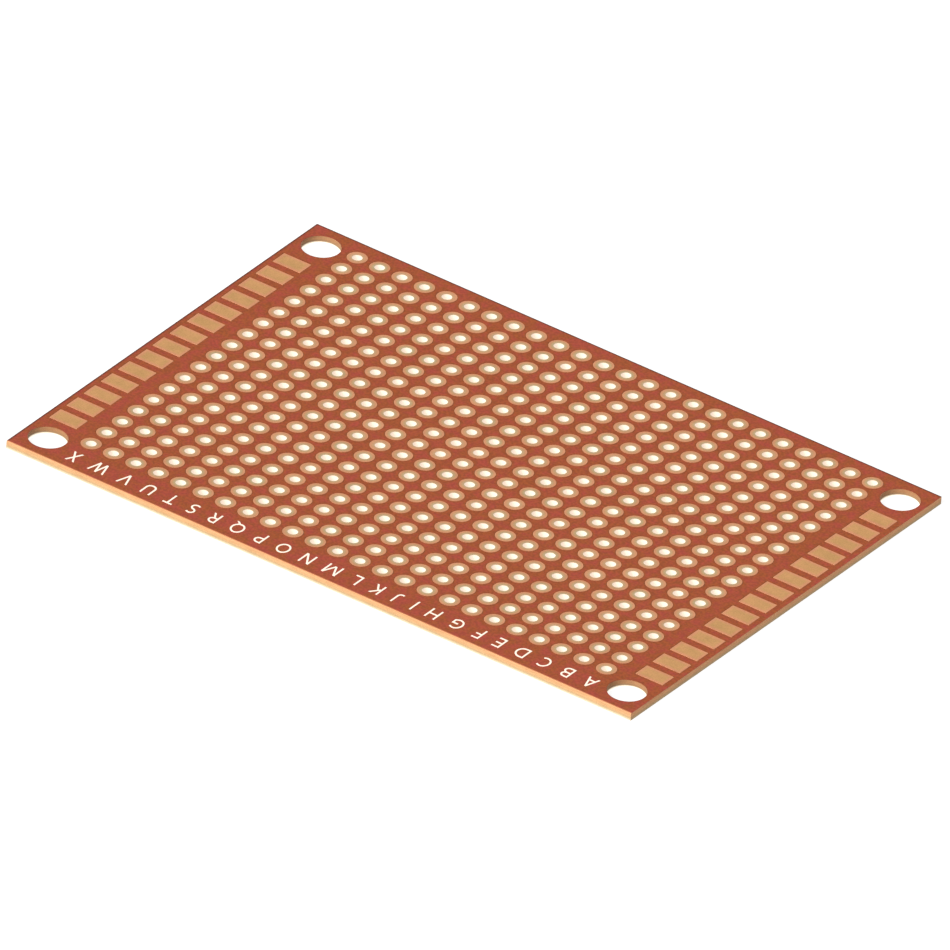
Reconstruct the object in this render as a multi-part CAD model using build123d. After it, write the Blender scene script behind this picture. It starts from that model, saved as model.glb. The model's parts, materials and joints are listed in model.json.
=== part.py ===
from build123d import *
import math
import os

# Single-sided prototype board: a drilled phenolic panel, one round copper pad at every lead hole,
# bare edge contacts on both short sides, a lacquer film round the copper and a printed line of
# index letters. Millimetres. The origin is the centre of the underside, +Z points out of the
# copper side, +X points to the end of the first column (A), and the letters lie along the -Y edge.

# lead hole grid
pitch = 2.54
columns = 24
rows = 18
lead_hole_radius = 0.5
pad_radius = 1.0

# panel outline round the grid, from the outer hole centres
end_margin = 6.19
front_margin = 4.86
back_margin = 2.36
panel_thickness = 0.77

# mounting holes, from the panel's edges
mounting_hole_radius = 1.9
mounting_inset_x = 2.575
mounting_inset_y = 3.03

# edge contacts
contact_length = 3.1
contact_width = 1.88
contact_pitch = 2.79
contact_edge_gap = 0.62
contact_hole_gap = 0.8
contact_row_shift = -0.12

# layers on the copper side
copper_thickness = 0.035
mask_thickness = 0.03
mask_clearance = 0.04
ink_thickness = 0.02

# printed letters
cap_height = 1.66
letter_stroke = 0.18
label_overhang = 0.59
label_shift = 0.23
label_edge_gap = 1.06

# worked out from the values above
grid_length = (columns - 1) * pitch
grid_width = (rows - 1) * pitch
panel_length = grid_length + 2 * end_margin
panel_width = grid_width + front_margin + back_margin
grid_y = (front_margin - back_margin) / 2
mounting_x = panel_length / 2 - mounting_inset_x
mounting_y = panel_width / 2 - mounting_inset_y
contact_x = panel_length / 2 - contact_edge_gap - contact_length / 2
contact_room = 2 * (mounting_y - mounting_hole_radius - contact_hole_gap) - contact_width
contact_count = int(contact_room / contact_pitch) + 1
copper_side = panel_thickness
mask_top = panel_thickness + mask_thickness


def column_x(column):
    """X of a column's hole centres: the first column is at the +X end."""
    return grid_length / 2 - column * pitch


def row_y(row):
    """Y of a row's hole centres, from the front edge back."""
    return grid_y - grid_width / 2 + row * pitch


def contact_y(number):
    """Y of an edge contact's centre, from the front edge back."""
    return contact_row_shift + (number - (contact_count - 1) / 2) * contact_pitch


def column_name(column):
    """Letters of a column: A to Z, then AA, AB and so on."""
    name = chr(ord("A") + column % 26)
    return name if column < 26 else column_name(column // 26 - 1) + name


def circle_at(x, y, radius):
    return Wire.make_circle(radius, Plane((x, y, 0)))


def rectangle_at(x, y, length, width):
    return Wire.make_rect(length, width, Plane((x, y, 0)))


def film(outline, windows, bottom, thickness):
    """A flat plate or film with windows through it."""
    face = Face(outline, windows).moved(Location((0, 0, bottom)))
    return Solid.extrude(face, Vector(0, 0, thickness))


def grid_holes(radius):
    return [circle_at(column_x(c), row_y(r), radius) for c in range(columns) for r in range(rows)]


def mounting_holes():
    return [circle_at(x, y, mounting_hole_radius)
            for x in (-mounting_x, mounting_x) for y in (-mounting_y, mounting_y)]


# Panel and lacquer

def base_panel():
    outline = rectangle_at(0, 0, panel_length, panel_width)
    return film(outline, grid_holes(lead_hole_radius) + mounting_holes(), 0, panel_thickness)


def solder_mask():
    """Lacquer over the whole copper side, with a window round each pad and each contact."""
    outline = rectangle_at(0, 0, panel_length, panel_width)
    windows = grid_holes(pad_radius + mask_clearance) + mounting_holes()
    window_length = contact_length + 2 * mask_clearance
    window_width = contact_width + 2 * mask_clearance
    for side in (-1, 1):
        for number in range(contact_count):
            windows.append(rectangle_at(side * contact_x, contact_y(number), window_length, window_width))
    return film(outline, windows, copper_side, mask_thickness)


# Copper

def pad(column, row):
    x, y = column_x(column), row_y(row)
    hole = circle_at(x, y, lead_hole_radius)
    return film(circle_at(x, y, pad_radius), [hole], copper_side, copper_thickness)


def pad_column(column):
    return Compound([pad(column, row) for row in range(rows)])


def edge_contact(side, number):
    outline = rectangle_at(side * contact_x, contact_y(number), contact_length, contact_width)
    return film(outline, [], copper_side, copper_thickness)


# Printed letters. A letter is drawn in its own box, read left to right, from three kinds of stroke:
#   stem(u0, v0, u1, v1)        upright or slanted, its ends cut level
#   beam(v, u0, u1)             level, its ends cut upright, half a stroke past u0 and u1
#   bow(u0, u1, v0, v1, a, b)   part of an oval between two angles, anticlockwise
# u runs 0 to 1 over the letter's width and v over its height, and a stroke at 0 or 1 lies inside
# the box. Each letter has its width, as a share of the cap height, and its strokes.

full_stem = ("stem", 0, 0, 0, 1)
far_stem = ("stem", 1, 0, 1, 1)
round_bow = ("bow", 0, 1, 0, 1, 0, 360)

letters = {
    "A": (0.72, [("stem", 0, 0, 0.5, 1), ("stem", 1, 0, 0.5, 1), ("beam", 0.27, 0.2, 0.8)]),
    "B": (0.61, [full_stem, ("beam", 0, 0, 0.46), ("beam", 0.52, 0, 0.46), ("beam", 1, 0, 0.42),
                 ("bow", 0, 1, 0, 0.52, -90, 90), ("bow", 0, 0.92, 0.52, 1, -90, 90)]),
    "C": (0.65, [("bow", 0, 1.35, 0, 1, 55, 305)]),
    "D": (0.74, [full_stem, ("beam", 0, 0, 0.34), ("beam", 1, 0, 0.34),
                 ("bow", -0.24, 1, 0, 1, -90, 90)]),
    "E": (0.51, [full_stem, ("beam", 0, 0, 1), ("beam", 0.52, 0, 0.92), ("beam", 1, 0, 1)]),
    "F": (0.48, [full_stem, ("beam", 0.5, 0, 0.92), ("beam", 1, 0, 1)]),
    "G": (0.74, [("bow", 0, 1.15, 0, 1, 52, 318), ("stem", 1, 0.12, 1, 0.5), ("beam", 0.46, 0.55, 1)]),
    "H": (0.69, [full_stem, far_stem, ("beam", 0.52, 0, 1)]),
    "I": (0.14, [("stem", 0.5, 0, 0.5, 1)]),
    "J": (0.39, [("stem", 1, 0.28, 1, 1), ("bow", -0.45, 1, 0, 0.55, 240, 360)]),
    "K": (0.61, [full_stem, ("stem", 0.08, 0.42, 0.93, 1), ("stem", 1, 0, 0.3, 0.6)]),
    "L": (0.51, [full_stem, ("beam", 0, 0, 1)]),
    "M": (0.92, [full_stem, far_stem, ("stem", 0.5, 0.1, 0.03, 1), ("stem", 0.5, 0.1, 0.97, 1)]),
    "N": (0.70, [full_stem, far_stem, ("stem", 0.97, 0, 0.03, 1)]),
    "O": (0.81, [round_bow]),
    "P": (0.55, [full_stem, ("beam", 0.46, 0, 0.4), ("beam", 1, 0, 0.4),
                 ("bow", -0.1, 1, 0.46, 1, -90, 90)]),
    "Q": (0.81, [round_bow, ("stem", 1.02, -0.14, 0.6, 0.12)]),
    "R": (0.57, [full_stem, ("beam", 0.48, 0, 0.37), ("beam", 1, 0, 0.37),
                 ("bow", -0.1, 0.94, 0.48, 1, -90, 90), ("stem", 1.02, 0, 0.42, 0.54)]),
    "S": (0.55, [("bow", 0.06, 1.12, 0.5, 1, 45, 270), ("bow", -0.12, 0.94, 0, 0.5, 225, 450)]),
    "T": (0.61, [("stem", 0.5, 0, 0.5, 1), ("beam", 1, 0, 1)]),
    "U": (0.67, [("stem", 0, 0.33, 0, 1), ("stem", 1, 0.33, 1, 1), ("bow", 0, 1, 0, 0.66, 180, 360)]),
    "V": (0.72, [("stem", 0.5, 0, 0, 1), ("stem", 0.5, 0, 1, 1)]),
    "W": (1.07, [("stem", 0.27, 0, 0, 1), ("stem", 0.27, 0, 0.5, 1),
                 ("stem", 0.73, 0, 0.5, 1), ("stem", 0.73, 0, 1, 1)]),
    "X": (0.63, [("stem", 0, 0, 0.96, 1), ("stem", 1, 0, 0.04, 1)]),
    "Y": (0.67, [("stem", 0.5, 0, 0.5, 0.5), ("stem", 0.5, 0.42, 0, 1), ("stem", 0.5, 0.42, 1, 1)]),
    "Z": (0.63, [("beam", 0, 0, 1), ("beam", 1, 0, 1), ("stem", 0.03, 0.07, 0.97, 0.93)]),
}


def letter_width(letter):
    return letters[letter][0] * cap_height


def across(width, u):
    return letter_stroke / 2 + u * (width - letter_stroke)


def up(v):
    return letter_stroke / 2 + v * (cap_height - letter_stroke)


def stem(width, u0, v0, u1, v1):
    x0, y0, x1, y1 = across(width, u0), v0 * cap_height, across(width, u1), v1 * cap_height
    half = letter_stroke / 2 * math.hypot(1, (x1 - x0) / (y1 - y0))
    return Polygon((x0 - half, y0), (x0 + half, y0), (x1 + half, y1), (x1 - half, y1), align=None)


def beam(width, v, u0, u1):
    edge = letter_stroke / 2
    x0, x1, low, high = across(width, u0) - edge, across(width, u1) + edge, up(v) - edge, up(v) + edge
    return Polygon((x0, low), (x1, low), (x1, high), (x0, high), align=None)


def bow(width, u0, u1, v0, v1, start, end):
    x0, x1, y0, y1 = across(width, u0), across(width, u1), up(v0), up(v1)
    centre_x, centre_y, radius_x, radius_y = (x0 + x1) / 2, (y0 + y1) / 2, (x1 - x0) / 2, (y1 - y0) / 2
    edge = letter_stroke / 2
    ring = Ellipse(radius_x + edge, radius_y + edge) - Ellipse(radius_x - edge, radius_y - edge)
    if end - start < 360:
        # a fan of rays a quarter turn apart or less, well outside the ring, keeps the wanted part
        steps = math.ceil((end - start) / 60)
        angles = [math.radians(start + (end - start) * i / steps) for i in range(steps + 1)]
        fan = [(3 * radius_x * math.cos(a), 3 * radius_y * math.sin(a)) for a in angles]
        ring = ring & Polygon((0, 0), *fan, align=None)
    return Pos(centre_x, centre_y) * ring


def letter_face(letter):
    draw = {"stem": stem, "beam": beam, "bow": bow}
    width, strokes = letter_width(letter), letters[letter][1]
    shape = Sketch()
    for kind, *places in strokes:
        shape += draw[kind](width, *places)
    return shape


def column_letters():
    """The printed line, first column's letter first, upright when read from the back edge."""
    text = "".join(column_name(column) for column in range(columns))
    line_length = grid_length + 2 * label_overhang
    letter_gap = (line_length - sum(letter_width(letter) for letter in text)) / (len(text) - 1)
    baseline = -panel_width / 2 + label_edge_gap + cap_height
    place = Location((label_shift + line_length / 2, baseline, mask_top), (0, 0, 180))
    solids, x = [], 0
    for letter in text:
        print_face = place * Pos(x, 0) * letter_face(letter)
        solids += [Solid.extrude(face, Vector(0, 0, ink_thickness)) for face in print_face.faces()]
        x += letter_width(letter) + letter_gap
    return Compound(solids)


# Files

def write(name, shape):
    shape.label = name
    export_step(shape, f"parts/{name}.step")


os.makedirs("parts", exist_ok=True)
write("base_panel", base_panel())
write("solder_mask", solder_mask())
for column in range(columns):
    write(f"pad_column_{column_name(column).lower()}", pad_column(column))
for number in range(contact_count):
    write(f"left_contact_{number + 1:02d}", edge_contact(-1, number))
    write(f"right_contact_{number + 1:02d}", edge_contact(1, number))
write("column_letters", column_letters())
print(f"panel {panel_length:.2f} x {panel_width:.2f} x {mask_top + ink_thickness:.2f} mm,",
      f"{columns * rows} pads, {2 * contact_count} contacts")
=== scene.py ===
import bpy
import json
import math
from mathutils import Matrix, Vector


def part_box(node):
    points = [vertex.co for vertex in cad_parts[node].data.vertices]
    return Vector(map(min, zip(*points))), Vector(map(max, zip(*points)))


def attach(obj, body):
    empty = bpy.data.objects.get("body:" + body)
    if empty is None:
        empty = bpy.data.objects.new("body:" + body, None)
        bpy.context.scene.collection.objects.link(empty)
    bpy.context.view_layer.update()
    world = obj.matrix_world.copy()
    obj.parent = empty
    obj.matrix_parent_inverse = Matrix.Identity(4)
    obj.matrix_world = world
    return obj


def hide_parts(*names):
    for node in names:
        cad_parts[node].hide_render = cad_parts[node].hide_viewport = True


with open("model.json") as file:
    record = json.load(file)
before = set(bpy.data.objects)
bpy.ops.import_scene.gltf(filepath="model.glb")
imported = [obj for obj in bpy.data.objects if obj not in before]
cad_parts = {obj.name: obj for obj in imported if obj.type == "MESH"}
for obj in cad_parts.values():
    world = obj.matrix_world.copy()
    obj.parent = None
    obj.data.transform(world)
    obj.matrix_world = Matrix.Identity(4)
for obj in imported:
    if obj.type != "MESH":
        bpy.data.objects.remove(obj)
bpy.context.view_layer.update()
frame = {"nodes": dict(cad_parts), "record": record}
nodes = frame["nodes"]
mounts = {m["name"]: m for m in frame["record"]["mounts"]}
scene = bpy.context.scene
mm = 0.001
print("frame loaded:", len(nodes), "nodes")


# Sizes that follow the frame

def middle(node):
    low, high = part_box(node)
    return (low + high) / 2


panelLow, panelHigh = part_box("base_panel")
filmLow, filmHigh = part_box("solder_mask")
columnNames = sorted(name for name in nodes if name.startswith("pad_column_"))
contactNames = sorted(name for name in nodes if "_contact_" in name)
columnLow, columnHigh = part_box(columnNames[0])
contactLow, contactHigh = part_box(contactNames[0])

pitch = (middle(columnNames[0]) - middle(columnNames[1])).length
padRadius = (columnHigh.x - columnLow.x) / 2
rows = round((columnHigh.y - columnLow.y - 2 * padRadius) / pitch) + 1
columns = len(columnNames)
gridMiddle = (middle(columnNames[0]) + middle(columnNames[-1])) / 2
contactSize = contactHigh - contactLow
contactPitch = (middle(contactNames[0]) - middle(contactNames[1])).length
cornerMount = mounts["mounting_holes"]["dims"]
cornerX = cornerMount["spacing_x_mm"] * mm / 2
cornerY = cornerMount["spacing_y_mm"] * mm / 2
cornerRadius = cornerMount["hole_r_mm"] * mm
holeRadius = padRadius / 2  # a pad's ring is as wide as its hole's radius


# Node trees

def addNode(tree, kind, inputs=None, **settings):
    node = tree.nodes.new(kind)
    for name, value in settings.items():
        setattr(node, name, value)
    for socket, value in (inputs or {}).items():
        if isinstance(value, bpy.types.NodeSocket):
            tree.links.new(value, node.inputs[socket])
        else:
            node.inputs[socket].default_value = value
    return node


# inputs and outputs are (name, socket kind) pairs; gives back the group and what its Group Input holds
def newGroup(name, kind, inputs, outputs):
    tree = bpy.data.node_groups.new(name, kind)
    for socketName, socketKind in inputs:
        tree.interface.new_socket(socketName, in_out="INPUT", socket_type="NodeSocket" + socketKind)
    for socketName, socketKind in outputs:
        tree.interface.new_socket(socketName, in_out="OUTPUT", socket_type="NodeSocket" + socketKind)
    return tree, tree.nodes.new("NodeGroupInput").outputs


def endGroup(tree, results):
    end = tree.nodes.new("NodeGroupOutput")
    for socket, value in results.items():
        tree.links.new(value, end.inputs[socket])


def maths(tree, operation, a, b=0.0, c=0.0):
    return addNode(tree, "ShaderNodeMath", {0: a, 1: b, 2: c}, operation=operation).outputs[0]


def vectorMaths(tree, operation, a, b=(0, 0, 0), scale=None):
    node = addNode(tree, "ShaderNodeVectorMath", {0: a, 1: b}, operation=operation)
    if scale is not None:
        tree.links.new(scale, node.inputs["Scale"])
    return node.outputs["Value" if operation == "LENGTH" else "Vector"]


def split(tree, vector):
    return addNode(tree, "ShaderNodeSeparateXYZ", {0: vector}).outputs


# runs smoothly from low at start to high at end
def ramp(tree, value, start, end, low=0.0, high=1.0):
    places = {"Value": value, "From Min": start, "From Max": end, "To Min": low, "To Max": high}
    return addNode(tree, "ShaderNodeMapRange", places, interpolation_type="SMOOTHSTEP").outputs["Result"]


def blendColour(tree, factor, a, b, mode="MIX"):
    node = addNode(tree, "ShaderNodeMix", data_type="RGBA", blend_type=mode)
    for socket, value in (("Factor_Float", factor), ("A_Color", a), ("B_Color", b)):
        target = next(s for s in node.inputs if s.identifier == socket)
        if isinstance(value, bpy.types.NodeSocket):
            tree.links.new(value, target)
        else:
            target.default_value = value
    return next(s for s in node.outputs if s.identifier == "Result_Color")


# a screen colour, 0 to 255, as the linear values that a shader takes
def colour(red, green, blue):
    def linear(v):
        v /= 255
        return v / 12.92 if v <= 0.04045 else ((v + 0.055) / 1.055) ** 2.4
    return (linear(red), linear(green), linear(blue), 1)


# Shared effects

# where a point lies on the board: how far from the middle of the nearest lead hole, from the nearer of the
# back and left edges, from the front edge and from the nearest corner hole, and a random number for each
# lead hole
def makeBoardField():
    tree, given = newGroup("boardField", "ShaderNodeTree", [
        ("Point", "Vector"), ("First hole", "Vector"), ("Pitch", "Float"), ("Last cell", "Vector"),
        ("Half size", "Vector"), ("Corner", "Vector"), ("Corner radius", "Float")],
        [("Radius", "Float"), ("Far edge", "Float"), ("Front edge", "Float"), ("Corner", "Float"),
         ("Tint", "Float")])
    flat = vectorMaths(tree, "MULTIPLY", given["Point"], (1, 1, 0))
    step = maths(tree, "DIVIDE", 1.0, given["Pitch"])
    place = vectorMaths(tree, "SCALE", vectorMaths(tree, "SUBTRACT", flat, given["First hole"]), scale=step)
    cell = vectorMaths(tree, "FLOOR", vectorMaths(tree, "ADD", place, (0.5, 0.5, 0)))
    cell = vectorMaths(tree, "MINIMUM", vectorMaths(tree, "MAXIMUM", cell), given["Last cell"])
    away = vectorMaths(tree, "SCALE", vectorMaths(tree, "SUBTRACT", place, cell), scale=given["Pitch"])
    tint = addNode(tree, "ShaderNodeTexWhiteNoise", {"Vector": cell}, noise_dimensions="3D")
    mirrored = vectorMaths(tree, "MULTIPLY", flat, (1, -1, 0))
    fromFar = split(tree, vectorMaths(tree, "ADD", given["Half size"], mirrored))
    fromFront = split(tree, vectorMaths(tree, "ADD", given["Half size"], flat))
    quarter = vectorMaths(tree, "ABSOLUTE", flat)
    toCorner = vectorMaths(tree, "LENGTH", vectorMaths(tree, "SUBTRACT", quarter, given["Corner"]))
    toCorner = maths(tree, "SUBTRACT", toCorner, given["Corner radius"])
    endGroup(tree, {"Radius": vectorMaths(tree, "LENGTH", away), "Tint": tint.outputs["Value"],
                    "Far edge": maths(tree, "MINIMUM", fromFar["X"], fromFar["Y"]),
                    "Front edge": fromFront["Y"], "Corner": toCorner})
    return tree


# how deep a point lies inside the nearest edge contact; below 0 outside it
def makeContactField():
    tree, given = newGroup("contactField", "ShaderNodeTree", [
        ("Point", "Vector"), ("Middle X", "Float"), ("First Y", "Float"), ("Pitch", "Float"),
        ("Last", "Float"), ("Length", "Float"), ("Width", "Float")], [("Depth", "Float")])
    at = split(tree, given["Point"])
    place = maths(tree, "DIVIDE", maths(tree, "SUBTRACT", at["Y"], given["First Y"]), given["Pitch"])
    number = maths(tree, "FLOOR", maths(tree, "ADD", place, 0.5))
    number = maths(tree, "MINIMUM", maths(tree, "MAXIMUM", number, 0.0), given["Last"])
    away = maths(tree, "MULTIPLY", maths(tree, "SUBTRACT", place, number), given["Pitch"])
    aside = maths(tree, "SUBTRACT", maths(tree, "ABSOLUTE", at["X"]), given["Middle X"])
    depths = []
    for distance, size in ((aside, "Length"), (away, "Width")):
        half = maths(tree, "MULTIPLY", given[size], 0.5)
        depths.append(maths(tree, "SUBTRACT", half, maths(tree, "ABSOLUTE", distance)))
    endGroup(tree, {"Depth": maths(tree, "MINIMUM", *depths)})
    return tree


mottleShape = {"blotchDetail": 3, "grainDetail": 2, "noiseLow": 0.3, "noiseHigh": 0.7}


# uneven colour in two sizes: Value lies round 1 and multiplies a colour, Blotch runs 0 to 1
def makeMottle():
    shape = mottleShape
    tree, given = newGroup("mottle", "ShaderNodeTree", [
        ("Point", "Vector"), ("Blotch size", "Float"), ("Grain size", "Float"),
        ("Blotch strength", "Float"), ("Grain strength", "Float")],
        [("Value", "Float"), ("Blotch", "Float")])
    parts = []
    for kind, detail in (("Blotch", shape["blotchDetail"]), ("Grain", shape["grainDetail"])):
        scale = maths(tree, "DIVIDE", 1.0, given[kind + " size"])
        noise = addNode(tree, "ShaderNodeTexNoise",
                        {"Vector": given["Point"], "Scale": scale, "Detail": detail})
        level = ramp(tree, noise.outputs["Fac"], shape["noiseLow"], shape["noiseHigh"])
        swing = maths(tree, "MULTIPLY", maths(tree, "SUBTRACT", level, 0.5), given[kind + " strength"])
        parts.append((level, swing))
    value = maths(tree, "ADD", maths(tree, "ADD", parts[0][1], parts[1][1]), 1.0)
    endGroup(tree, {"Value": value, "Blotch": parts[0][0]})
    return tree


boardField = makeBoardField()
contactField = makeContactField()
mottle = makeMottle()


def newMaterial(name, roughness=0.5, metallic=0.0):
    material = bpy.data.materials.new(name)
    material.use_nodes = True
    tree = material.node_tree
    shader = tree.nodes["Principled BSDF"]
    shader.inputs["Roughness"].default_value = roughness
    shader.inputs["Metallic"].default_value = metallic
    point = tree.nodes.new("ShaderNodeTexCoord").outputs["Object"]
    return material, tree, shader, point


def placeGroup(tree, group, point, values):
    node = addNode(tree, "ShaderNodeGroup", node_tree=group)
    for name, value in values.items():
        node.inputs[name].default_value = value
    tree.links.new(point, node.inputs["Point"])
    return node.outputs


def placeField(tree, point):
    firstHole = (gridMiddle.x - (columns - 1) * pitch / 2, gridMiddle.y - (rows - 1) * pitch / 2, 0)
    return placeGroup(tree, boardField, point, {
        "First hole": firstHole, "Pitch": pitch, "Last cell": (columns - 1, rows - 1, 0),
        "Half size": (panelHigh.x, panelHigh.y, 0), "Corner": (cornerX, cornerY, 0),
        "Corner radius": cornerRadius})


def placeContactField(tree, point):
    first = middle(contactNames[0])
    return placeGroup(tree, contactField, point, {
        "Middle X": abs(first.x), "First Y": first.y, "Pitch": contactPitch,
        "Last": len(contactNames) / 2 - 1, "Length": contactSize.x, "Width": contactSize.y})["Depth"]


# sizes and strengths of the mottle come from the finish's own dictionary
def placeMottle(tree, point, look):
    return placeGroup(tree, mottle, point, {
        "Blotch size": look["blotchSize"], "Grain size": look["grainSize"],
        "Blotch strength": look["blotchStrength"], "Grain strength": look["grainStrength"]})


# a colour times a value that varies over the surface
def shade(tree, base, value):
    grey = addNode(tree, "ShaderNodeCombineColor", {0: value, 1: value, 2: value}).outputs[0]
    return blendColour(tree, 1.0, base, grey, "MULTIPLY")


def addBump(tree, shader, height, depth):
    bump = addNode(tree, "ShaderNodeBump", {"Height": height, "Strength": 1.0, "Distance": depth})
    tree.links.new(bump.outputs["Normal"], shader.inputs["Normal"])


# Finishes

lacquerFinish = {
    "rustRed": colour(147, 71, 27), "roseRed": colour(148, 59, 41), "padRingShade": colour(141, 68, 25),
    "padRingShadeWidth": 0.42 * mm, "padRingShadeStrength": 0.9, "edgeShadeBrown": colour(58, 24, 12), "edgeShadeWidth": 0.26 * mm,
    "farEdgeShade": 0.88, "holeEdgeShade": 0.12, "frontHighlightTan": colour(220, 152, 104), "frontHighlightWidth": 0.2 * mm,
    "frontHighlightStrength": 0.9, "roughness": 0.42, "specular": 0.35, "blotchSize": 1.1 * mm,
    "blotchStrength": 0.13, "grainSize": 0.25 * mm, "grainStrength": 0.3, "peelSize": 0.35 * mm,
    "peelDetail": 1.0, "peelDepth": 0.004 * mm}


def makeLacquer():
    look = lacquerFinish
    material, tree, shader, point = newMaterial("lacquerFilm", look["roughness"])
    shader.inputs["Specular IOR Level"].default_value = look["specular"]
    field = placeField(tree, point)
    uneven = placeMottle(tree, point, look)
    base = blendColour(tree, uneven["Blotch"], look["rustRed"], look["roseRed"])
    toContact = maths(tree, "MULTIPLY", placeContactField(tree, point), -1.0)
    toCopper = maths(tree, "MINIMUM", maths(tree, "SUBTRACT", field["Radius"], padRadius), toContact)
    padRingShade = ramp(tree, toCopper, 0.0, look["padRingShadeWidth"], look["padRingShadeStrength"], 0.0)
    base = blendColour(tree, padRingShade, base, look["padRingShade"])  # painted shade: the film is darker and browner in a band round the copper
    base = shade(tree, base, uneven["Value"])
    rim = 0.0
    for edge, strength in (("Far edge", "farEdgeShade"), ("Corner", "holeEdgeShade")):
        near = ramp(tree, field[edge], 0.0, look["edgeShadeWidth"], look[strength], 0.0)
        rim = maths(tree, "MAXIMUM", rim, near)
    base = blendColour(tree, rim, base, look["edgeShadeBrown"])  # painted shade: darker along the back and left edges, which face away from the key light, and round the corner holes
    frontHighlight = ramp(tree, field["Front edge"], 0.0, look["frontHighlightWidth"], look["frontHighlightStrength"], 0.0)
    base = blendColour(tree, frontHighlight, base, look["frontHighlightTan"])  # painted highlight: lighter and tan along the front edge, which faces the key light
    tree.links.new(base, shader.inputs["Base Color"])
    peel = addNode(tree, "ShaderNodeTexNoise",
                   {"Vector": point, "Scale": 1 / look["peelSize"], "Detail": look["peelDetail"]})
    addBump(tree, shader, peel.outputs["Fac"], look["peelDepth"])
    return material


copperFinish = {
    "gold": colour(197, 152, 103), "rose": colour(217, 147, 108), "olive": colour(190, 168, 128),
    "contactGold": colour(202, 153, 95), "roughness": 0.45, "metallic": 0.35, "blotchSize": 1.2 * mm,
    "blotchStrength": 0.1, "grainSize": 0.12 * mm, "grainStrength": 0.16, "oliveEnd": 0.84 * mm,
    "roseStart": 0.66 * mm, "ownRose": 0.4, "contactRim": 0.55 * mm, "blotchRose": 0.2}


def newCopper(name):
    look = copperFinish
    material, tree, shader, point = newMaterial(name, look["roughness"], look["metallic"])
    return material, tree, shader, point, placeMottle(tree, point, look)


# a pad runs from olive at its hole to rose at its rim, and each pad is a little different
def makePadCopper():
    look = copperFinish
    material, tree, shader, point, uneven = newCopper("padCopper")
    field = placeField(tree, point)
    toRim = ramp(tree, field["Radius"], look["roseStart"], padRadius)
    base = blendColour(tree, toRim, look["gold"], look["rose"])
    atHole = ramp(tree, field["Radius"], holeRadius, look["oliveEnd"], 1.0, 0.0)
    base = blendColour(tree, atHole, base, look["olive"])
    own = maths(tree, "MULTIPLY", field["Tint"], look["ownRose"])
    base = blendColour(tree, own, base, look["rose"])
    tree.links.new(shade(tree, base, uneven["Value"]), shader.inputs["Base Color"])
    return material


# a contact is gold in the middle and rose along its border
def makeContactCopper():
    look = copperFinish
    material, tree, shader, point, uneven = newCopper("contactCopper")
    border = ramp(tree, placeContactField(tree, point), 0.0, look["contactRim"], 1.0, 0.0)
    patches = maths(tree, "MULTIPLY", uneven["Blotch"], look["blotchRose"])
    base = blendColour(tree, maths(tree, "MAXIMUM", border, patches), look["contactGold"], look["rose"])
    tree.links.new(shade(tree, base, uneven["Value"]), shader.inputs["Base Color"])
    return material


laminateFinish = {
    "core": colour(200, 147, 103), "layer": colour(192, 137, 93), "lower": colour(174, 144, 105),
    "face": colour(140, 90, 54), "keyLightTint": (0.89, 1.0, 1.03, 1), "fullyFront": -0.9, "notFront": -0.5,
    "layerStep": 0.11 * mm, "layerFlatness": 0.06, "layerDetail": 2.0, "coreEnd": 0.35, "layerStart": 0.65,
    "lowerEnd": 0.1, "cutStart": 0.7, "drilledTop": 0.6, "drilledBottom": 0.5, "drilledReach": 0.05 * mm,
    "lit": colour(250, 236, 214), "litHeight": 0.36, "litFront": 0.36, "litGlow": (0.5, 0.46, 0.4, 1),
    "paintedPaleHoleWall": colour(182, 163, 145), "through": (0.52, 0.47, 0.41, 1), "punchedReach": 0.01 * mm,
    "roughness": 0.6, "specular": 0.12, "blotchSize": 1.5 * mm, "blotchStrength": 0.07,
    "grainSize": 0.2 * mm, "grainStrength": 0.1}


# the cut edges' colour: paper in flat layers, duller towards the underside
def colourLayers(tree, point, rise):
    look = laminateFinish
    flatness = look["layerFlatness"]
    stretched = vectorMaths(tree, "MULTIPLY", point, (flatness, flatness, 1.0))
    paper = addNode(tree, "ShaderNodeTexNoise",
                    {"Vector": stretched, "Scale": 1 / look["layerStep"], "Detail": look["layerDetail"]})
    layers = ramp(tree, paper.outputs["Fac"], look["coreEnd"], look["layerStart"])
    return blendColour(tree, rise, look["lower"], blendColour(tree, layers, look["core"], look["layer"]))


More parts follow.
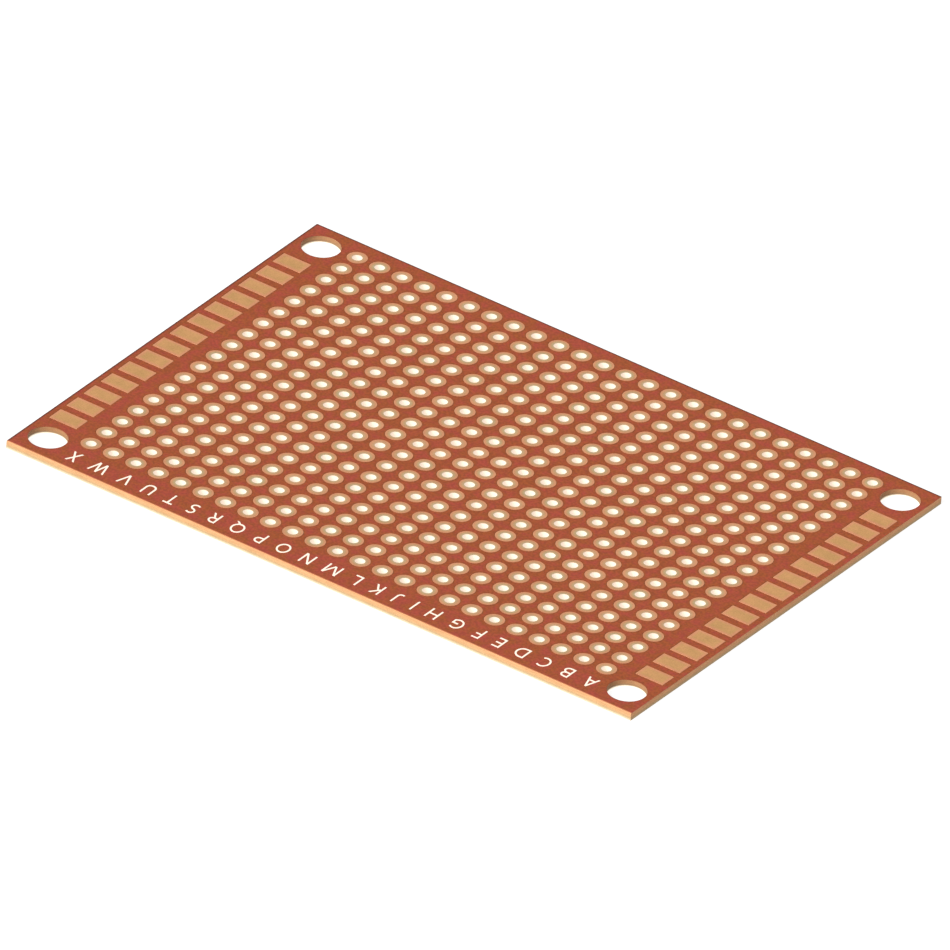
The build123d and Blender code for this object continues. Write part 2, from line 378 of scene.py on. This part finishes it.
def makeLaminate():
    look = laminateFinish
    material, tree, shader, point = newMaterial("phenolicPanel", look["roughness"])
    shader.inputs["Specular IOR Level"].default_value = look["specular"]
    field = placeField(tree, point)
    uneven = placeMottle(tree, point, look)
    height = split(tree, point)["Z"]
    rise = ramp(tree, height, look["lowerEnd"] * panelHigh.z, look["cutStart"] * panelHigh.z)
    cut = colourLayers(tree, point, rise)
    drilled = maths(tree, "LESS_THAN", field["Corner"], look["drilledReach"])
    drilledShade = ramp(tree, rise, 0.0, 1.0, look["drilledBottom"], look["drilledTop"])
    cut = blendColour(tree, drilled, cut, shade(tree, cut, drilledShade))  # painted shade: the corner-hole walls are darkened, most towards the bottom
    facing = split(tree, tree.nodes.new("ShaderNodeNewGeometry").outputs["Normal"])
    toFront = ramp(tree, facing["Y"], look["fullyFront"], look["notFront"], 1.0, 0.0)
    frontEdge = maths(tree, "MINIMUM", toFront, maths(tree, "SUBTRACT", 1.0, drilled))
    cut = blendColour(tree, frontEdge, cut, look["keyLightTint"], "MULTIPLY")  # painted light: the front edge, which faces the key light, is tinted yellower as if that lamp were less red
    nearFloor = ramp(tree, height, 0.0, look["litHeight"] * panelHigh.z, 1.0, 0.0)
    lit = maths(tree, "MAXIMUM", maths(tree, "MULTIPLY", toFront, look["litFront"]), drilled)
    lit = maths(tree, "MULTIPLY", lit, nearFloor)
    cut = blendColour(tree, lit, cut, look["lit"])  # the floor's light catches the lowest part of a wall
    onFace = maths(tree, "GREATER_THAN", maths(tree, "ABSOLUTE", facing["Z"]), 0.5)
    base = shade(tree, blendColour(tree, onFace, cut, look["face"]), uneven["Value"])
    inHole = maths(tree, "LESS_THAN", field["Radius"], holeRadius + look["punchedReach"])
    base = blendColour(tree, inHole, base, look["paintedPaleHoleWall"])  # painted light: the lead-hole walls are painted pale so they show as bright as light seen through the holes
    tree.links.new(base, shader.inputs["Base Color"])
    # painted light: the lowest part of the corner-hole walls and all of the lead-hole walls glow, though no
    # lamp is there
    glow = blendColour(tree, maths(tree, "MULTIPLY", lit, drilled), (0, 0, 0, 1), look["litGlow"])
    glow = blendColour(tree, inHole, glow, look["through"])
    tree.links.new(glow, shader.inputs["Emission Color"])
    shader.inputs["Emission Strength"].default_value = 1.0
    return material


inkFinish = {
    "white": colour(249, 234, 216), "roughness": 0.55, "blotchSize": 0.6 * mm, "blotchStrength": 0.02,
    "grainSize": 0.1 * mm, "grainStrength": 0.05}


def makeInk():
    look = inkFinish
    material, tree, shader, point = newMaterial("letterInk", look["roughness"])
    uneven = placeMottle(tree, point, look)
    tree.links.new(shade(tree, look["white"], uneven["Value"]), shader.inputs["Base Color"])
    return material


lacquer = makeLacquer()
padCopper = makePadCopper()
contactCopper = makeContactCopper()
laminate = makeLaminate()
ink = makeInk()
print("finishes made")


# Pieces

weld = 0.001 * mm  # joins points that lie nearer than this


# runs a geometry tree on an empty mesh, keeps its result as a plain mesh and drops the modifier
def runTree(tree, name, values):
    host = bpy.data.objects.new(name + "Host", bpy.data.meshes.new(name + "Host"))
    scene.collection.objects.link(host)
    modifier = host.modifiers.new("build", "NODES")
    modifier.node_group = tree
    for socket in tree.interface.items_tree:
        if socket.in_out == "INPUT" and socket.name in values:
            modifier[socket.identifier] = values[socket.name]
    bpy.context.view_layer.update()
    evaluated = host.evaluated_get(bpy.context.evaluated_depsgraph_get())
    mesh = bpy.data.meshes.new_from_object(evaluated)
    host.modifiers.remove(modifier)
    bpy.data.objects.remove(host)
    piece = bpy.data.objects.new(name, mesh)
    mesh.name = name
    scene.collection.objects.link(piece)
    return piece


# a flat sheet punched with the grid's round windows, the corner holes and, if wanted, a window round
# each edge contact
def makeSheetTree():
    tree, given = newGroup("punchedSheet", "GeometryNodeTree", [
        ("Geometry", "Geometry"), ("Length", "Float"), ("Width", "Float"), ("Columns", "Int"),
        ("Rows", "Int"), ("Pitch", "Float"), ("Grid middle", "Vector"), ("Window radius", "Float"),
        ("Window steps", "Int"), ("Corner spacing X", "Float"), ("Corner spacing Y", "Float"),
        ("Corner radius", "Float"), ("Corner steps", "Int"), ("Contacts", "Int"),
        ("Contact spacing X", "Float"), ("Contact row length", "Float"), ("Contact middle", "Vector"),
        ("Contact window X", "Float"), ("Contact window Y", "Float"), ("Bottom", "Vector"),
        ("Thickness", "Float"), ("Material", "Material")], [("Geometry", "Geometry")])

    def array(countX, countY, sizeX, sizeY, at, shape):
        grid = addNode(tree, "GeometryNodeMeshGrid",
                       {"Size X": sizeX, "Size Y": sizeY, "Vertices X": countX, "Vertices Y": countY})
        moved = addNode(tree, "GeometryNodeTransform", {"Geometry": grid.outputs["Mesh"], "Translation": at})
        return addNode(tree, "GeometryNodeInstanceOnPoints",
                       {"Points": moved.outputs["Geometry"], "Instance": shape.outputs["Curve"]}).outputs[0]

    def span(count, step):
        return maths(tree, "MULTIPLY", maths(tree, "SUBTRACT", count, 1.0), step)

    outline = addNode(tree, "GeometryNodeCurvePrimitiveQuadrilateral",
                      {"Width": given["Length"], "Height": given["Width"]})
    window = addNode(tree, "GeometryNodeCurvePrimitiveCircle",
                     {"Radius": given["Window radius"], "Resolution": given["Window steps"]})
    cornerHole = addNode(tree, "GeometryNodeCurvePrimitiveCircle",
                         {"Radius": given["Corner radius"], "Resolution": given["Corner steps"]})
    contactWindow = addNode(tree, "GeometryNodeCurvePrimitiveQuadrilateral",
                            {"Width": given["Contact window X"], "Height": given["Contact window Y"]})
    curves = tree.nodes.new("GeometryNodeJoinGeometry")
    tree.links.new(outline.outputs["Curve"], curves.inputs[0])
    for instances in (
            array(given["Columns"], given["Rows"], span(given["Columns"], given["Pitch"]),
                  span(given["Rows"], given["Pitch"]), given["Grid middle"], window),
            array(2, 2, given["Corner spacing X"], given["Corner spacing Y"], (0, 0, 0), cornerHole),
            array(2, given["Contacts"], given["Contact spacing X"], given["Contact row length"],
                  given["Contact middle"], contactWindow)):
        tree.links.new(instances, curves.inputs[0])
    plain = addNode(tree, "GeometryNodeRealizeInstances", {"Geometry": curves.outputs[0]})
    fill = addNode(tree, "GeometryNodeFillCurve", {"Curve": plain.outputs[0]}, mode="TRIANGLES")
    raised = addNode(tree, "GeometryNodeExtrudeMesh", {
        "Mesh": fill.outputs["Mesh"], "Offset": (0, 0, 1), "Offset Scale": given["Thickness"],
        "Individual": False})
    under = addNode(tree, "GeometryNodeFlipFaces", {"Mesh": fill.outputs["Mesh"]})
    both = tree.nodes.new("GeometryNodeJoinGeometry")
    tree.links.new(raised.outputs["Mesh"], both.inputs[0])
    tree.links.new(under.outputs["Mesh"], both.inputs[0])
    merged = addNode(tree, "GeometryNodeMergeByDistance", {"Geometry": both.outputs[0], "Distance": weld})
    placed = addNode(tree, "GeometryNodeTransform",
                     {"Geometry": merged.outputs[0], "Translation": given["Bottom"]})
    whole = addNode(tree, "GeometryNodeRealizeInstances", {"Geometry": placed.outputs[0]})
    finished = addNode(tree, "GeometryNodeSetMaterial",
                       {"Geometry": whole.outputs[0], "Material": given["Material"]})
    endGroup(tree, {"Geometry": finished.outputs[0]})
    return tree


sheetTree = makeSheetTree()
sheetPlan = {
    "Length": panelHigh.x - panelLow.x, "Width": panelHigh.y - panelLow.y, "Columns": columns, "Rows": rows,
    "Pitch": pitch, "Grid middle": (gridMiddle.x, gridMiddle.y, 0), "Corner spacing X": 2 * cornerX,
    "Corner spacing Y": 2 * cornerY, "Corner radius": cornerRadius, "Corner steps": 72, "Window steps": 24}


def makePanel():
    piece = runTree(sheetTree, "phenolicBoard", {
        **sheetPlan, "Window radius": holeRadius, "Contacts": 0, "Bottom": (0, 0, panelLow.z),
        "Thickness": panelHigh.z - panelLow.z, "Material": laminate})
    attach(piece, "root")
    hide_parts("base_panel")


filmSizes = {"gap": 0.04 * mm}


# the red lacquer, open round every pad and contact
def makeFilm():
    leftMiddles = [middle(name) for name in contactNames if name.startswith("left")]
    rowLength = leftMiddles[-1].y - leftMiddles[0].y
    gap = filmSizes["gap"]
    piece = runTree(sheetTree, "lacquerFilm", {
        **sheetPlan, "Window radius": padRadius + gap, "Contacts": len(leftMiddles),
        "Contact spacing X": -2 * leftMiddles[0].x, "Contact row length": rowLength,
        "Contact middle": (0, (leftMiddles[0].y + leftMiddles[-1].y) / 2, 0),
        "Contact window X": contactSize.x + 2 * gap, "Contact window Y": contactSize.y + 2 * gap,
        "Bottom": (0, 0, filmLow.z), "Thickness": filmHigh.z - filmLow.z, "Material": lacquer})
    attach(piece, "root")
    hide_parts("solder_mask")


# one column of round pads, each a ring with the sloped sides that etching leaves
def makePadTree():
    tree, given = newGroup("padColumn", "GeometryNodeTree", [
        ("Geometry", "Geometry"), ("Rows", "Int"), ("Pitch", "Vector"), ("First pad", "Vector"),
        ("Ring radius", "Float"), ("Ring width", "Float"), ("Etched width", "Float"), ("Thickness", "Float"),
        ("Steps", "Int"), ("Material", "Material")], [("Geometry", "Geometry")])
    ring = addNode(tree, "GeometryNodeCurvePrimitiveCircle",
                   {"Radius": given["Ring radius"], "Resolution": given["Steps"]})
    section = addNode(tree, "GeometryNodeCurvePrimitiveQuadrilateral", {
        "Bottom Width": given["Ring width"], "Top Width": given["Etched width"],
        "Height": given["Thickness"], "Offset": 0.0}, mode="TRAPEZOID")
    pad = addNode(tree, "GeometryNodeCurveToMesh",
                  {"Curve": ring.outputs["Curve"], "Profile Curve": section.outputs["Curve"]})
    line = addNode(tree, "GeometryNodeMeshLine", {
        "Count": given["Rows"], "Start Location": given["First pad"], "Offset": given["Pitch"]})
    column = addNode(tree, "GeometryNodeInstanceOnPoints",
                     {"Points": line.outputs["Mesh"], "Instance": pad.outputs["Mesh"]})
    whole = addNode(tree, "GeometryNodeRealizeInstances", {"Geometry": column.outputs[0]})
    flat = addNode(tree, "GeometryNodeSetShadeSmooth", {"Geometry": whole.outputs[0], "Shade Smooth": False})
    finished = addNode(tree, "GeometryNodeSetMaterial",
                       {"Geometry": flat.outputs[0], "Material": given["Material"]})
    endGroup(tree, {"Geometry": finished.outputs[0]})
    return tree


padSizes = {"undercut": 0.012 * mm, "steps": 24}


def makePads():
    tree = makePadTree()
    ringWidth = padRadius - holeRadius
    for name in columnNames:
        low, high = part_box(name)
        piece = runTree(tree, name.replace("pad_column_", "padColumn"), {
            "Rows": rows, "Pitch": (0, pitch, 0),
            "First pad": ((low.x + high.x) / 2, low.y + padRadius, (low.z + high.z) / 2),
            "Ring radius": (padRadius + holeRadius) / 2, "Ring width": ringWidth,
            "Etched width": ringWidth - 2 * padSizes["undercut"], "Thickness": high.z - low.z,
            "Steps": padSizes["steps"], "Material": padCopper})
        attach(piece, "root")
        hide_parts(name)


# one edge contact: a thin land with slightly rounded corners and sloped sides
def makeContactTree():
    tree, given = newGroup("edgeContact", "GeometryNodeTree", [
        ("Geometry", "Geometry"), ("Length", "Float"), ("Width", "Float"), ("Thickness", "Float"),
        ("Corner", "Float"), ("Corner steps", "Int"), ("Etched share", "Float"), ("Place", "Vector"),
        ("Material", "Material")], [("Geometry", "Geometry")])
    outline = addNode(tree, "GeometryNodeCurvePrimitiveQuadrilateral",
                      {"Width": given["Length"], "Height": given["Width"]})
    rounded = addNode(tree, "GeometryNodeFilletCurve", {
        "Curve": outline.outputs["Curve"], "Count": given["Corner steps"], "Radius": given["Corner"]},
        mode="POLY")
    fill = addNode(tree, "GeometryNodeFillCurve", {"Curve": rounded.outputs["Curve"]}, mode="NGONS")
    raised = addNode(tree, "GeometryNodeExtrudeMesh", {
        "Mesh": fill.outputs["Mesh"], "Offset": (0, 0, 1), "Offset Scale": given["Thickness"],
        "Individual": False})
    narrowed = addNode(tree, "GeometryNodeScaleElements", {
        "Geometry": raised.outputs["Mesh"], "Selection": raised.outputs["Top"],
        "Scale": given["Etched share"]})
    under = addNode(tree, "GeometryNodeFlipFaces", {"Mesh": fill.outputs["Mesh"]})
    both = tree.nodes.new("GeometryNodeJoinGeometry")
    tree.links.new(narrowed.outputs["Geometry"], both.inputs[0])
    tree.links.new(under.outputs["Mesh"], both.inputs[0])
    merged = addNode(tree, "GeometryNodeMergeByDistance", {"Geometry": both.outputs[0], "Distance": weld})
    placed = addNode(tree, "GeometryNodeTransform",
                     {"Geometry": merged.outputs[0], "Translation": given["Place"]})
    whole = addNode(tree, "GeometryNodeRealizeInstances", {"Geometry": placed.outputs[0]})
    finished = addNode(tree, "GeometryNodeSetMaterial",
                       {"Geometry": whole.outputs[0], "Material": given["Material"]})
    endGroup(tree, {"Geometry": finished.outputs[0]})
    return tree


contactSizes = {"corner": 0.06 * mm, "cornerSteps": 4, "etchedShare": 0.99}


def makeContacts():
    tree = makeContactTree()
    for name in contactNames:
        low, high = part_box(name)
        side, _, number = name.partition("_contact_")
        piece = runTree(tree, side + "Contact" + number, {
            "Length": high.x - low.x, "Width": high.y - low.y, "Thickness": high.z - low.z,
            "Corner": contactSizes["corner"], "Corner steps": contactSizes["cornerSteps"],
            "Etched share": contactSizes["etchedShare"],
            "Place": ((low.x + high.x) / 2, (low.y + high.y) / 2, low.z), "Material": contactCopper})
        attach(piece, "root")
        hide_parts(name)


makePanel()
makeFilm()
print("panel and lacquer made")
makePads()
makeContacts()
print("copper made")
for letterSlot in nodes["column_letters"].material_slots:
    letterSlot.material = ink


# Floor, light and camera

studio = {
    "floorSize": 4.0, "floorColour": (0.2, 0.2, 0.2, 1), "floorRoughness": 0.9, "floorGlow": 0.87,
    "floorGap": 0.01 * mm, "skyStrength": 0.43, "keyStrength": 4.8, "keyAngle": 36, "keyAzimuth": -12,
    "keyElevation": 36}
view = {
    "azimuth": 32.2, "elevation": 32.0, "roll": 5.15, "frameWidth": 88.04 * mm, "distance": 0.6,
    "nearClip": 0.01, "farClip": 10,
    "gridRight": 0.634 * mm, "gridUp": 1.092 * mm}  # where the grid's middle stands in the frame


# towards a viewer at that azimuth and elevation, in degrees; azimuth 0 looks along +Y
def direction(azimuth, elevation):
    a, e = math.radians(azimuth), math.radians(elevation)
    return Vector((math.sin(a) * math.cos(e), -math.cos(a) * math.cos(e), math.sin(e)))


def makeFloor():
    half = studio["floorSize"] / 2
    mesh = bpy.data.meshes.new("floor")
    corners = [(-half, -half), (half, -half), (half, half), (-half, half)]
    mesh.from_pydata([(x, y, -studio["floorGap"]) for x, y in corners], [], [(0, 1, 2, 3)])
    floor = bpy.data.objects.new("floor", mesh)
    scene.collection.objects.link(floor)
    material, _, shader, _ = newMaterial("paleFloor", studio["floorRoughness"])
    shader.inputs["Base Color"].default_value = studio["floorColour"]
    shader.inputs["Emission Color"].default_value = (1, 1, 1, 1)  # a light table, so no shadow darkens it
    shader.inputs["Emission Strength"].default_value = studio["floorGlow"]
    mesh.materials.append(material)


def makeLight():
    world = bpy.data.worlds.new("softSky")
    world.use_nodes = True
    tree = world.node_tree
    sky = tree.nodes["Background"]
    sky.inputs["Color"].default_value = (1, 1, 1, 1)
    seen = tree.nodes.new("ShaderNodeLightPath").outputs["Is Camera Ray"]  # shown as pale as the floor
    tree.links.new(maths(tree, "MAXIMUM", seen, studio["skyStrength"]), sky.inputs["Strength"])
    scene.world = world
    key = bpy.data.lights.new("key", "SUN")
    key.energy = studio["keyStrength"]
    key.angle = math.radians(studio["keyAngle"])
    lamp = bpy.data.objects.new("key", key)
    toLight = direction(studio["keyAzimuth"], studio["keyElevation"])
    lamp.rotation_mode = "QUATERNION"
    lamp.rotation_quaternion = (-toLight).to_track_quat("-Z", "Y")
    scene.collection.objects.link(lamp)


def makeCamera():
    camera = bpy.data.objects.new("camera", bpy.data.cameras.new("camera"))
    camera.data.type = "ORTHO"
    camera.data.ortho_scale = view["frameWidth"]
    camera.data.clip_start, camera.data.clip_end = view["nearClip"], view["farClip"]
    back = direction(view["azimuth"], view["elevation"])
    level = Vector((0, 0, 1)).cross(back).normalized()
    upright = back.cross(level)
    roll = math.radians(view["roll"])
    right = level * math.cos(roll) + upright * math.sin(roll)
    up = upright * math.cos(roll) - level * math.sin(roll)
    gridTop = Vector((gridMiddle.x, gridMiddle.y, filmHigh.z))
    target = gridTop - right * view["gridRight"] - up * view["gridUp"]
    matrix = camera.matrix_world.copy()
    for row in range(3):
        matrix[row][0], matrix[row][1], matrix[row][2] = right[row], up[row], back[row]
    matrix.translation = target + back * view["distance"]
    camera.matrix_world = matrix
    scene.collection.objects.link(camera)
    scene.camera = camera


makeFloor()
makeLight()
makeCamera()
scene.view_settings.view_transform = "Standard"
print("floor, light and camera made")
